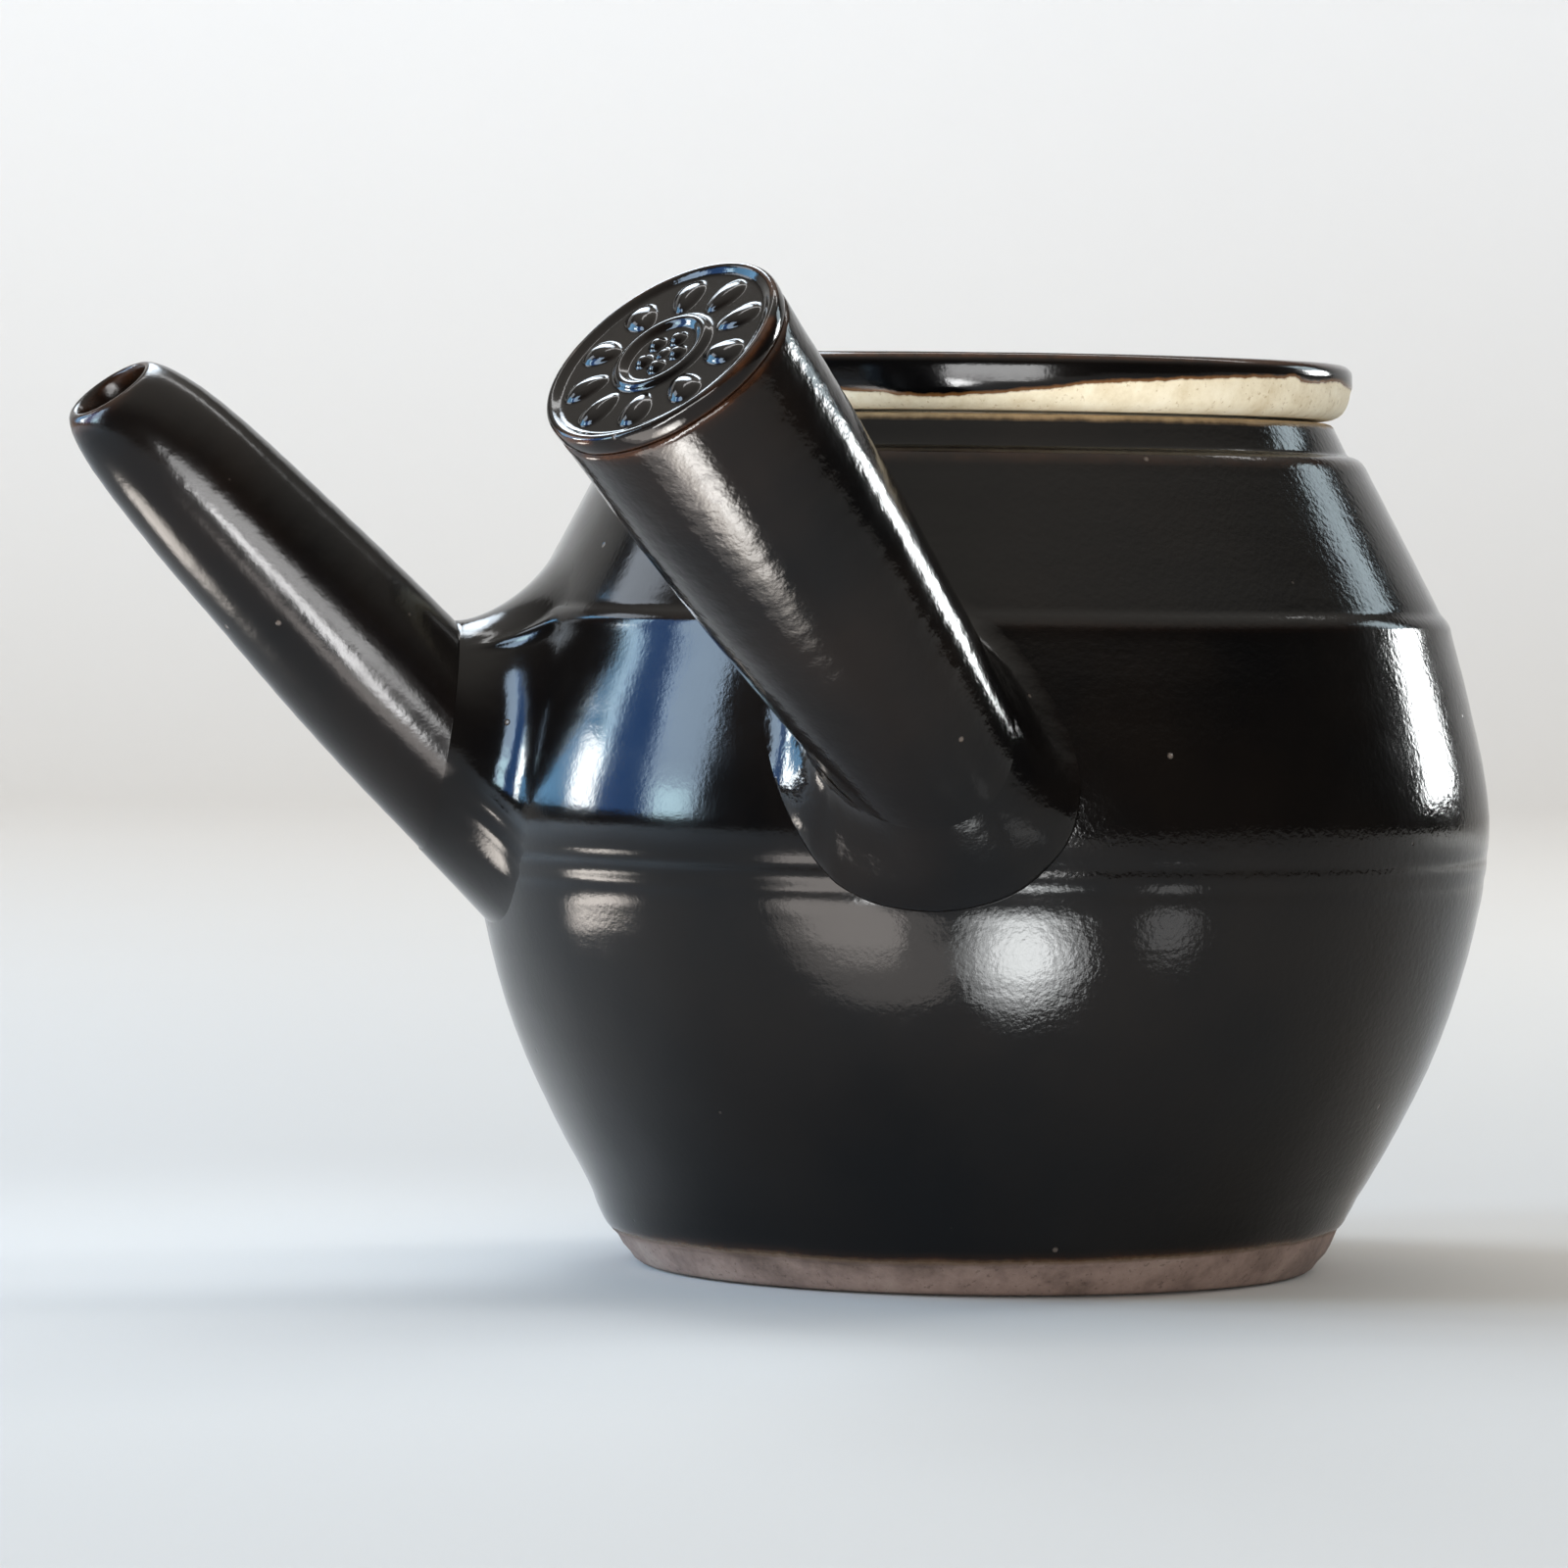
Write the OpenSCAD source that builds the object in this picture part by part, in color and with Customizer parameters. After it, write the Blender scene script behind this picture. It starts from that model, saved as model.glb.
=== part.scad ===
// A side-handled stoneware teapot: a thrown pot, a straight spout, a hollow handle and a loose lid.
// Millimetres. The origin is the centre of the foot, +Z is up and the spout points along -X.

/* [Pot] */
// Widest diameter of the pot
belly_d = 120; // [100:1:144]
// Height of the widest point
belly_z = 53; // [44:0.5:64]
// Diameter of the flat foot
foot_d = 81; // [67:1:98]
// Height where the straight flank runs into the belly's curve
flank_h = 20; // [16:0.5:24]
// Radius of the belly's curve below its widest point
lower_curve_r = 66; // [55:1:80]
// Radius of the belly's curve above its widest point
upper_curve_r = 55; // [45:1:66]
// Rise from the widest point to the shoulder ridge
ridge_rise = 22.5; // [18.5:0.5:27]
// Rise from the shoulder ridge to the foot of the neck
shoulder_rise = 18.7; // [15.5:0.1:22.5]
// Thickness of the wall
wall = 4.5; // [3.7:0.1:5.4]
// Thickness of the floor
floor_t = 6; // [5:0.1:7.2]

/* [Neck and lip] */
// Height of the neck above the shoulder
neck_h = 5.5; // [4.5:0.1:6.6]
// Diameter of the mouth
mouth_d = 74; // [61:1:89]
// Thickness of the lip
lip_wall = 4; // [3.3:0.1:4.8]
// How much wider the neck is at its foot than at the lip, on the radius
neck_flare = 2; // [1.6:0.1:2.4]
// Width of the step at the foot of the neck
shoulder_step = 2.4; // [2:0.1:2.9]
// Radius of the rolled edge at the foot of the neck
shoulder_roll_r = 2; // [1.6:0.1:2.4]
// Rounding of the lip's outer edge
lip_round = 1; // [0.8:0.1:1.2]

/* [Spout] */
// Height where the spout's axis meets the pot
spout_root_z = 57; // [47.5:0.1:68.4]
// Angle of the spout above the horizontal
spout_tilt = 45.7; // [38:0.1:55]
// Length along the axis from the pot's surface to the tip
spout_len = 62.4; // [52:0.1:75]
// Diameter at the root
spout_root_d = 22.6; // [18.8:0.1:27.2]
// Diameter where the rounded nose begins
spout_nose_d = 16.6; // [13.8:0.1:20]
// Length of the rounded nose
spout_nose_len = 8; // [6.6:0.1:9.6]
// Diameter of the tip's face
spout_tip_d = 12.4; // [10.3:0.1:14.9]
// Diameter of the pouring hole at the tip
spout_hole_d = 9; // [7.5:0.1:10.8]
// Thickness of the wall at the root
spout_wall = 3.3; // [2.7:0.1:4]
// Thickness of the collar between the pot and the spout
spout_collar_t = 4.7; // [3.9:0.1:5.7]
// How far the collar stands out past the spout at the crease
spout_collar_rim = 0.4; // [0.3:0.1:0.5]
// How much wider the collar is at the pot than at the crease, on each side
spout_collar_flare = 4.4; // [3.6:0.1:5.3]

/* [Strainer] */
// Diameter of the inlet through the pot's wall
inlet_d = 22; // [18.5:0.5:26.5]
// How far the strainer's skirt reaches into the inlet
skirt_len = 2.5; // [2:0.1:3]
// How far the skirt stands clear of the wall before the dome begins
skirt_reveal = 1.5; // [1.2:0.1:1.8]
// Thickness of the pierced dome
strainer_wall = 2.5; // [2:0.1:3]
// Diameter of the strainer's holes
strainer_hole_d = 2.8; // [2.3:0.1:3.4]

/* [Handle] */
// Height where the handle's axis meets the pot
handle_root_z = 60.4; // [50:0.1:72]
// Angle round the pot from the spout to the handle's root
handle_root_angle = 73.8; // [61:0.1:88]
// Angle round the pot from the spout's direction to the handle's direction
handle_heading = 33.4; // [28:0.1:40]
// Angle of the handle above the horizontal
handle_rise = 46; // [38.5:0.1:55]
// Length along the axis from the pot's surface to the cap's face
handle_len = 62; // [51.5:0.5:74.5]
// Diameter at the root
handle_root_d = 22; // [18.3:0.1:26.4]
// Diameter at the cap
handle_end_d = 28.2; // [23.5:0.1:33.8]
// Thickness of the handle's wall
handle_wall = 4; // [3.3:0.1:4.8]
// Diameter of the air hole that lets the hollow handle breathe
air_hole_d = 2.5; // [2:0.1:3]
// Distance of the air hole from the root, along the axis
air_hole_at = 20; // [16.5:0.5:24]
// Diameter of the collar's lower end
handle_collar_d = 35; // [29:1:42]
// Length of the collar below the point where the axis meets the pot
handle_collar_depth = 16; // [13:0.5:19.5]
// Length of the collar above that point
handle_collar_rise = 2; // [1.6:0.1:2.4]
// Thickness of the collar's upper edge
handle_collar_rim = 1.2; // [1:0.1:1.5]

/* [Handle end cap] */
// Thickness of the cap
cap_t = 4.5; // [3.7:0.1:5.4]
// Rounding of the cap's edge
cap_round = 1.2; // [1:0.1:1.5]
// Length of the spigot in the tube
cap_spigot_len = 3; // [2.5:0.1:3.6]
// Outer diameter of the pressed ring
press_d = 20; // [17:0.1:21]
// Width of the pressed ring
press_w = 4; // [3.3:0.1:4.8]
// Depth of the pressed ring and of the dimple
press_depth = 0.8; // [0.6:0.1:1]
// Diameter of the central dimple
dimple_d = 5; // [4:0.1:6]
// Number of beads in the pressed ring
bead_count = 9; // [6:1:12]
// Diameter of a bead
bead_d = 2.4; // [2:0.1:2.9]

/* [Lid] */
// Gap under the lid at the lip
lid_seat_gap = 0.3; // [0.25:0.01:0.4]
// How far the lid stands out past the lip
lid_overhang = 2; // [1.6:0.1:2.4]
// Height of the lid's edge
lid_edge_h = 6.5; // [5.4:0.1:7.8]
// Rounding under the lid's edge
lid_edge_r = 3.2; // [2.6:0.1:3.9]
// Rounding of the rim's top corner
lid_rim_round = 1; // [0.8:0.1:1.2]
// Width of the rim round the dish
lid_rim_w = 5; // [4:0.1:6]
// Depth of the dish below the rim
dish_depth = 4.7; // [4.4:0.1:5.6]
// Width of the dish's sloping side
dish_slope_w = 7.5; // [6.2:0.1:9]
// Thickness of the lid under the dish
lid_plate_t = 4.2; // [3.5:0.1:5]
// Depth of the locating flange below the lip's top
flange_depth = 8; // [6.6:0.1:9.6]
// Thickness of the flange
flange_t = 3.2; // [2.6:0.1:3.9]
// Gap between the flange and the mouth
flange_gap = 1; // [0.8:0.1:1.2]
// Diameter of the steam hole
steam_hole_d = 3.5; // [2.9:0.1:4.2]
// Distance of the steam hole from the lid's centre
steam_hole_at = 20; // [16.5:0.5:24]

/* [Lid knob] */
// Diameter of the button
button_d = 19; // [16:0.5:23]
// Thickness of the button
button_t = 3; // [2.5:0.1:3.6]
// Rounding of the button's edge
button_round = 1.2; // [1:0.1:1.4]
// Diameter of the stem
stem_d = 11; // [9:0.5:13]
// Height of the stem
stem_h = 2.6; // [2.2:0.1:3.1]

/* [Hidden] */
$fn = 96;
// Slip layer between two pieces that are luted together on a curved face
slip_gap = 0.1;
// How far a cutting shape runs past the face it cuts
overcut = 1;
arc_steps = 6;
belly_steps = 8;
collar_fn = 48;

ridge_z = belly_z + ridge_rise;
shoulder_z = ridge_z + shoulder_rise;
lip_z = shoulder_z + neck_h;
mouth_r = mouth_d / 2;
lip_r = mouth_r + lip_wall;
neck_foot_r = lip_r + neck_flare;
shoulder_r = neck_foot_r + shoulder_step;

spout_root_x = outer_r(spout_root_z);
crease_x = spout_root_x + spout_collar_t;
crease_z = spout_root_z + spout_collar_t * tan(spout_tilt);
spout_taper = (spout_root_d - spout_nose_d) / 2 / (spout_len - spout_nose_len);
hole_taper = ((spout_root_d - spout_hole_d) / 2 - spout_wall) / spout_len;
crease_r = spout_r(spout_collar_t / cos(spout_tilt));

inner_root_x = spout_root_x - wall;
strainer_r = inlet_d / 2 - slip_gap;

handle_root = [
    -outer_r(handle_root_z) * cos(handle_root_angle),
    -outer_r(handle_root_z) * sin(handle_root_angle),
    handle_root_z
];
tube_len = handle_len - cap_t;
handle_taper = (handle_end_d - handle_root_d) / 2 / tube_len;

seat_z = lip_z + lid_seat_gap;
lid_r = lip_r + lid_overhang;
rim_z = seat_z + lid_edge_h;
dish_z = rim_z - dish_depth;
flange_r = mouth_r - flange_gap;
rim_inner_r = lid_r - lid_rim_w;
dish_r = rim_inner_r - dish_slope_w;

// Radius of the pot's flank, belly and shoulder at a height, moved inwards by an inset
function flank_r(z) = foot_d / 2 + (lower_r(flank_h, 0) - foot_d / 2) * z / flank_h;
function lower_r(z, inset) =
    belly_d / 2 - lower_curve_r + sqrt(pow(lower_curve_r - inset, 2) - pow(belly_z - z, 2));
function upper_r(z, inset) =
    belly_d / 2 - upper_curve_r + sqrt(pow(upper_curve_r - inset, 2) - pow(z - belly_z, 2));
function outer_r(z) =
    z < flank_h ? flank_r(z) :
    z < belly_z ? lower_r(z, 0) :
    z < ridge_z ? upper_r(z, 0) :
    upper_r(ridge_z, 0) + (shoulder_r - upper_r(ridge_z, 0)) * (z - ridge_z) / shoulder_rise;

// Radius of the spout and of its hole at a distance along the axis
function spout_r(t) = spout_root_d / 2 - spout_taper * t;
function spout_hole_r(t) = spout_root_d / 2 - spout_wall - hole_taper * t;

// Radius of the handle's tube at a distance along the axis
function handle_r(t) = handle_root_d / 2 + handle_taper * t;

// Evenly spaced heights along one of the belly's curves
function heights(low, high) = [for (i = [0:belly_steps]) low + (high - low) * i / belly_steps];

// Points of an arc in an outline
function arc(centre, r, from, to) = [
    for (i = [0:arc_steps])
        let (a = from + (to - from) * i / arc_steps)
        centre + r * [cos(a), sin(a)]
];

// Outline of the pot from a bottom up to the foot of the neck, moved inwards by an inset
module pot_outline(inset, bottom) {
    polygon(concat(
        [[0, bottom], [flank_r(bottom) - inset, bottom]],
        [for (z = heights(flank_h, belly_z)) [lower_r(z, inset), z]],
        [for (z = heights(belly_z, ridge_z)) [upper_r(z, inset), z]],
        [[shoulder_r - inset, shoulder_z], [0, shoulder_z]]
    ));
}

// Outline of the neck, its rolled foot and its lip
module neck_outline() {
    translate([shoulder_r - shoulder_roll_r, shoulder_z])
        circle(r = shoulder_roll_r);
    polygon(concat(
        [[0, shoulder_z], [neck_foot_r, shoulder_z], [neck_foot_r, shoulder_z + shoulder_roll_r]],
        arc([lip_r - lip_round, lip_z - lip_round], lip_round, 0, 90),
        [[0, lip_z]]
    ));
}

// The space that the pot's outside takes up, a slip layer larger
module pot_space() {
    rotate_extrude()
        pot_outline(-slip_gap, 0);
}

// Places a child, drawn along +Z, on the spout's axis with its zero at the pot's surface
module on_spout() {
    translate([-spout_root_x, 0, spout_root_z])
        rotate([0, spout_tilt - 90, 0])
            children();
}

// Places a child, drawn along +Z, on the handle's axis with its zero at the pot's surface
module on_handle() {
    translate(handle_root)
        rotate([0, 90 - handle_rise, 180 + handle_heading])
            children();
}

// The spout's hole as a solid, from inside the pot to past the tip
module spout_hole() {
    low = -spout_root_d;
    high = spout_len + overcut;
    on_spout()
        translate([0, 0, low])
            cylinder(r1 = spout_hole_r(low), r2 = spout_hole_r(high), h = high - low);
}

// The thrown pot, from foot to lip
module pot() {
    color("#2b2422")
        difference() {
            rotate_extrude()
                difference() {
                    union() {
                        pot_outline(0, 0);
                        neck_outline();
                    }
                    pot_outline(wall, floor_t);
                    translate([0, shoulder_z - overcut])
                        square([mouth_r, neck_h + 2 * overcut]);
                }
            translate([-spout_root_x - overcut, 0, spout_root_z])
                rotate([0, 90, 0])
                    cylinder(d = inlet_d, h = 2 * wall + 2 * overcut);
        }
}

// Outline of a dome on a straight skirt
module dome_outline(r, skirt) {
    intersection() {
        circle(r = r);
        square(r);
    }
    translate([0, -skirt])
        square([r, skirt]);
}

// The pierced dome inside the pot, with its skirt in the inlet
module strainer() {
    // Rings of holes: angle from the dome's axis, and number of holes
    rings = [[0, 1], [30, 6], [58, 11]];
    inner_r = strainer_r - strainer_wall;
    color("#8a7462")
        translate([skirt_reveal - inner_root_x, 0, spout_root_z])
            rotate([0, 90, 0])
                difference() {
                    rotate_extrude()
                        difference() {
                            dome_outline(strainer_r, skirt_len + skirt_reveal);
                            dome_outline(inner_r, skirt_len + skirt_reveal + overcut);
                        }
                    for (ring = rings)
                        for (i = [0:ring[1] - 1])
                            rotate([0, ring[0], 360 * i / ring[1]])
                                translate([0, 0, inner_r - overcut])
                                    cylinder(d = strainer_hole_d, h = strainer_wall + 2 * overcut);
                }
}

// The spout's tube, cut upright where it meets its collar
module spout() {
    low = -spout_root_d;
    color("#2b2422")
        difference() {
            on_spout()
                rotate_extrude()
                    polygon([
                        [0, low],
                        [spout_r(low), low],
                        [spout_nose_d / 2, spout_len - spout_nose_len],
                        [spout_tip_d / 2, spout_len],
                        [0, spout_len]
                    ]);
            spout_hole();
            translate([-crease_x, -belly_d, -belly_d])
                cube(2 * belly_d);
        }
}

// The space that the strainer's skirt takes up in the inlet, a slip layer larger
module skirt_space() {
    translate([-inner_root_x - skirt_len - slip_gap, 0, spout_root_z])
        rotate([0, 90, 0])
            cylinder(d = inlet_d, h = skirt_len + slip_gap + wall);
}

// One end of the spout's collar: a thin upright oval on the spout's axis
module collar_oval(x, z, grow) {
    oval_t = 0.2;
    translate([-x, 0, z])
        rotate([0, 90, 0])
            scale([crease_r / cos(spout_tilt) + grow, crease_r + grow, 1])
                cylinder(r = 1, h = oval_t, $fn = collar_fn);
}

// The coil of clay round the spout's root
module spout_collar() {
    bury = wall + slip_gap;
    color("#2b2422")
        difference() {
            hull() {
                collar_oval(crease_x - slip_gap, crease_z, spout_collar_rim);
                collar_oval(spout_root_x - bury, spout_root_z, spout_collar_rim + spout_collar_flare);
            }
            pot_space();
            spout_hole();
            skirt_space();
        }
}

// The handle's tube as a solid of revolution, thinner by an inset
module tube_solid(inset) {
    low = -handle_root_d;
    translate([0, 0, low])
        cylinder(r1 = handle_r(low) - inset, r2 = handle_r(tube_len) - inset, h = tube_len - low);
}

// The hollow handle
module handle_tube() {
    color("#2e2622")
        difference() {
            on_handle()
                difference() {
                    tube_solid(0);
                    translate([0, 0, overcut])
                        tube_solid(handle_wall);
                    translate([0, 0, -overcut])
                        tube_solid(handle_wall);
                    translate([0, 0, air_hole_at])
                        rotate([90, 0, 0])
                            cylinder(d = air_hole_d, h = handle_end_d);
                }
            pot_space();
        }
}

// The pad of clay round the handle's root
module handle_collar() {
    color("#2e2622")
        difference() {
            on_handle()
                difference() {
                    translate([0, 0, -handle_collar_depth])
                        cylinder(
                            d1 = handle_collar_d,
                            r2 = handle_r(handle_collar_rise) + handle_collar_rim,
                            h = handle_collar_depth + handle_collar_rise
                        );
                    tube_solid(-slip_gap);
                }
            pot_space();
        }
}

// The disc that closes the handle, with a ring of beads pressed into its face
module handle_end_cap() {
    spigot_r = handle_r(tube_len - cap_spigot_len - overcut) - handle_wall - slip_gap;
    bead_orbit = (press_d - press_w) / 2;
    color("#3a2a22")
        on_handle()
            translate([0, 0, tube_len]) {
                difference() {
                    rotate_extrude()
                        polygon(concat(
                            [[0, -cap_spigot_len], [spigot_r, -cap_spigot_len], [spigot_r, 0]],
                            [[handle_end_d / 2, 0]],
                            arc([handle_end_d / 2 - cap_round, cap_t - cap_round], cap_round, 0, 90),
                            [[0, cap_t]]
                        ));
                    translate([0, 0, cap_t - press_depth])
                        difference() {
                            cylinder(d = press_d, h = press_depth + overcut);
                            cylinder(d = press_d - 2 * press_w, h = press_depth + overcut);
                        }
                    translate([0, 0, cap_t - press_depth])
                        cylinder(d = dimple_d, h = press_depth + overcut);
                }
                for (i = [0:bead_count - 1])
                    rotate([0, 0, 360 * i / bead_count])
                        translate([bead_orbit, 0, cap_t - 2 * press_depth])
                            cylinder(d = bead_d, h = 2 * press_depth);
            }
}

// The loose lid, dished on top and flanged below
module lid() {
    flange_z = lip_z - flange_depth;
    color("#2b2422")
        difference() {
            rotate_extrude()
                polygon(concat(
                    [[0, dish_z - lid_plate_t], [flange_r - flange_t, dish_z - lid_plate_t]],
                    [[flange_r - flange_t, flange_z], [flange_r, flange_z], [flange_r, seat_z]],
                    arc([lid_r - lid_edge_r, seat_z + lid_edge_r], lid_edge_r, -90, 0),
                    arc([lid_r - lid_rim_round, rim_z - lid_rim_round], lid_rim_round, 0, 90),
                    [[rim_inner_r, rim_z], [dish_r, dish_z], [0, dish_z]]
                ));
            translate([0, steam_hole_at, dish_z - lid_plate_t - overcut])
                cylinder(d = steam_hole_d, h = lid_plate_t + 2 * overcut);
        }
}

// The low button that the lid is lifted by
module lid_knob() {
    color("#2b2422")
        translate([0, 0, dish_z])
            rotate_extrude()
                polygon(concat(
                    [[0, 0], [stem_d / 2, 0], [stem_d / 2, stem_h]],
                    arc([button_d / 2 - button_round, stem_h + button_round], button_round, -90, 0),
                    arc([button_d / 2 - button_round, stem_h + button_t - button_round], button_round, 0, 90),
                    [[0, stem_h + button_t]]
                ));
}

pot();
strainer();
spout();
spout_collar();
handle_tube();
handle_collar();
handle_end_cap();
lid();
lid_knob();
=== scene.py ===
import math

import bpy
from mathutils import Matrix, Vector, noise


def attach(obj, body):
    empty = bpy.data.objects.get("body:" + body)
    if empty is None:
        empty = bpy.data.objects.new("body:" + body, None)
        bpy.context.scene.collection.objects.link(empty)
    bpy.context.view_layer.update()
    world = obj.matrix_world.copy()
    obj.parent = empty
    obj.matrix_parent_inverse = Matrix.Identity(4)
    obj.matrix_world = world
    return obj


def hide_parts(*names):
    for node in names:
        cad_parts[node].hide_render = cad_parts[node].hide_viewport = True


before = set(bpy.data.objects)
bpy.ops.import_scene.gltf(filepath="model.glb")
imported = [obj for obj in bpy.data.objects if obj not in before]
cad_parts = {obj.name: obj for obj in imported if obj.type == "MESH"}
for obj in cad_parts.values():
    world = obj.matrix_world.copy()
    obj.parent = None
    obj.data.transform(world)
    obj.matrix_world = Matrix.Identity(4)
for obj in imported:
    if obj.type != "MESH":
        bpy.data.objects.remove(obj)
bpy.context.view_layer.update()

scene = bpy.context.scene
mm = 0.001
print("frame loaded")


# small tools used by all pieces

def clearAll():
    if bpy.context.object and bpy.context.object.mode != "OBJECT":
        bpy.ops.object.mode_set(mode="OBJECT")
    bpy.ops.object.select_all(action="DESELECT")


def pickOnly(piece):
    clearAll()
    piece.select_set(True)
    bpy.context.view_layer.objects.active = piece


def blendStep(low, high, x):
    t = min(max((x - low) / (high - low), 0), 1)
    return t * t * (3 - 2 * t)


def bell(x, middle, width):
    return math.exp(-((x - middle) / width) ** 2)


def fromAxis(q):
    # distance from the pot's own axis
    return math.hypot(q.x, q.y)


def curveThrough(points):
    # smooth curve y(x) through points given in rising x
    xs = [p[0] for p in points]
    ys = [p[1] for p in points]
    slopes = []
    for i in range(len(points)):
        a, b = max(i - 1, 0), min(i + 1, len(points) - 1)
        slopes.append((ys[b] - ys[a]) / (xs[b] - xs[a]))

    def value(x):
        i = 0
        while i < len(xs) - 2 and x > xs[i + 1]:
            i += 1
        h = xs[i + 1] - xs[i]
        t = (x - xs[i]) / h
        if t < 0 or t > 1:
            end = 0 if t < 0 else -1
            return ys[end] + slopes[end] * (x - xs[end])
        return ((2 * t ** 3 - 3 * t ** 2 + 1) * ys[i] + (t ** 3 - 2 * t ** 2 + t) * h * slopes[i]
                + (3 * t ** 2 - 2 * t ** 3) * ys[i + 1] + (t ** 3 - t ** 2) * h * slopes[i + 1])
    return value


def loopThrough(points, u):
    # point on a closed smooth loop, u from 0 to 1
    count = len(points)
    x = (u % 1) * count
    i = int(x)
    t = x - i
    a, b, c, d = [Vector(points[(i + k) % count]) for k in (-1, 0, 1, 2)]
    return 0.5 * (2 * b + (c - a) * t + (2 * a - 5 * b + 4 * c - d) * t * t + (3 * b - a - 3 * c + d) * t ** 3)


def bezier(a, b, c, d, s):
    return a * (1 - s) ** 3 + b * 3 * s * (1 - s) ** 2 + c * 3 * s * s * (1 - s) + d * s ** 3


def alongChain(points, breaks, w):
    # a place on a chain of straight runs, which meet where w is at the breaks
    for first, second, low, high in zip(points, points[1:], breaks, breaks[1:]):
        if w <= high:
            return first.lerp(second, (w - low) / (high - low))
    return points[-1]


def turnOutline(name, outline, steps):
    # an outline of (radius, height) in mm, drawn point by point and turned round the Z axis
    clearAll()
    bpy.ops.mesh.primitive_plane_add(size=0.001)
    piece = bpy.context.object
    piece.name = name
    bpy.ops.object.mode_set(mode="EDIT")
    bpy.ops.mesh.select_mode(type="VERT")
    bpy.ops.mesh.select_all(action="SELECT")
    bpy.ops.mesh.merge(type="CENTER")
    bpy.ops.transform.translate(value=(outline[0][0] * mm, 0, outline[0][1] * mm))
    for (r0, z0), (r1, z1) in zip(outline, outline[1:]):
        bpy.ops.mesh.extrude_vertices_move(TRANSFORM_OT_translate={"value": ((r1 - r0) * mm, 0, (z1 - z0) * mm)})
    bpy.ops.mesh.select_all(action="SELECT")
    bpy.ops.mesh.spin(steps=steps, angle=2 * math.pi, center=(0, 0, 0), axis=(0, 0, 1))
    bpy.ops.mesh.select_all(action="SELECT")
    bpy.ops.mesh.remove_doubles(threshold=2e-6)
    bpy.ops.mesh.normals_make_consistent(inside=False)
    bpy.ops.object.mode_set(mode="OBJECT")
    return piece


def layOnAxis(piece, root, direction):
    # a piece drawn along +Z is laid on an axis, and its place goes into its mesh
    pickOnly(piece)
    piece.rotation_mode = "QUATERNION"
    piece.rotation_quaternion = direction.to_track_quat("Z", "Y")
    piece.location = root * mm
    bpy.ops.object.transform_apply(location=True, rotation=True, scale=True)
    piece.rotation_mode = "XYZ"


def cutBy(piece, cutter, operation="DIFFERENCE"):
    pickOnly(piece)
    cut = piece.modifiers.new("cut", "BOOLEAN")
    cut.operation = operation
    cut.solver = "EXACT"
    cut.object = cutter
    bpy.ops.object.modifier_apply(modifier="cut")
    bpy.data.objects.remove(cutter, do_unlink=True)


def drillHole(piece, hole):
    # the turn keeps the drill's edges off the piece's own
    clearAll()
    bpy.ops.mesh.primitive_cylinder_add(vertices=hole["sides"], radius=hole["radius"] * mm, depth=hole["depth"] * mm,
                                        location=[c * mm for c in hole["place"]], rotation=hole["turn"])
    cutBy(piece, bpy.context.object)


def cloudsOf(name, wave):
    clouds = bpy.data.textures.new(name, "CLOUDS")
    clouds.noise_scale = wave * mm
    return clouds


def handWobble(piece, wave, depth, chosen):
    # the slight unevenness of hand work, on the points chosen by their place
    group = piece.vertex_groups.new(name="wobble")
    for v in piece.data.vertices:
        weight = chosen(v.co / mm)
        if weight > 0:
            group.add([v.index], weight, "REPLACE")
    pickOnly(piece)
    push = piece.modifiers.new("wobble", "DISPLACE")
    push.texture = cloudsOf(piece.name + "Wobble", wave)
    push.texture_coords = "LOCAL"
    push.vertex_group = "wobble"
    push.strength = depth * mm
    push.mid_level = 0.5
    bpy.ops.object.modifier_apply(modifier="wobble")
    piece.vertex_groups.remove(piece.vertex_groups["wobble"])


def markPoints(piece, name, value):
    # a number at each point, from the point's place in mm, for the materials
    layer = piece.data.attributes.new(name, "FLOAT", "POINT")
    layer.data.foreach_set("value", [float(value(v.co / mm)) for v in piece.data.vertices])


def glazeAllOver(piece, thin):
    # no bare clay; thin says where rust shows
    markPoints(piece, "glazeLine", lambda q: 3.0)
    markPoints(piece, "thinGlaze", thin)


def ringOf(name, surface, around, along):
    # a grid rolled up both ways into a closed ring, each point placed by the surface
    clearAll()
    bpy.ops.mesh.primitive_grid_add(x_subdivisions=around, y_subdivisions=along, size=1)
    piece = bpy.context.object
    piece.name = name
    for v in piece.data.vertices:
        u, w = v.co.x + 0.5, v.co.y + 0.5
        v.co = surface(0 if u > 0.9999 else u, 0 if w > 0.9999 else w) * mm
    bpy.ops.object.mode_set(mode="EDIT")
    bpy.ops.mesh.select_all(action="SELECT")
    bpy.ops.mesh.remove_doubles(threshold=2e-6)
    bpy.ops.mesh.normals_make_consistent(inside=False)
    bpy.ops.object.mode_set(mode="OBJECT")
    return piece


def finishPiece(piece, node, body, material, angle=40):
    pickOnly(piece)
    bpy.ops.object.shade_smooth_by_angle(angle=math.radians(angle))
    piece.data.materials.clear()
    piece.data.materials.append(material)
    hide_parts(node)
    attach(piece, body)
    print(piece.name, "made,", len(piece.data.polygons), "faces")


# camera at the photograph's place
photoCamera = {
    "place": (-0.1809, -0.8510, 0.0826), "turn": (88.2758, -0.7496, -10.4523), "lens": 169.0, "sensor": 36,
}


def addCamera(c):
    clearAll()
    bpy.ops.object.camera_add(location=c["place"], rotation=[math.radians(a) for a in c["turn"]])
    camera = bpy.context.object
    camera.data.lens = c["lens"]
    camera.data.sensor_width = c["sensor"]
    scene.camera = camera
    print("camera placed")


addCamera(photoCamera)


# materials

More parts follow.
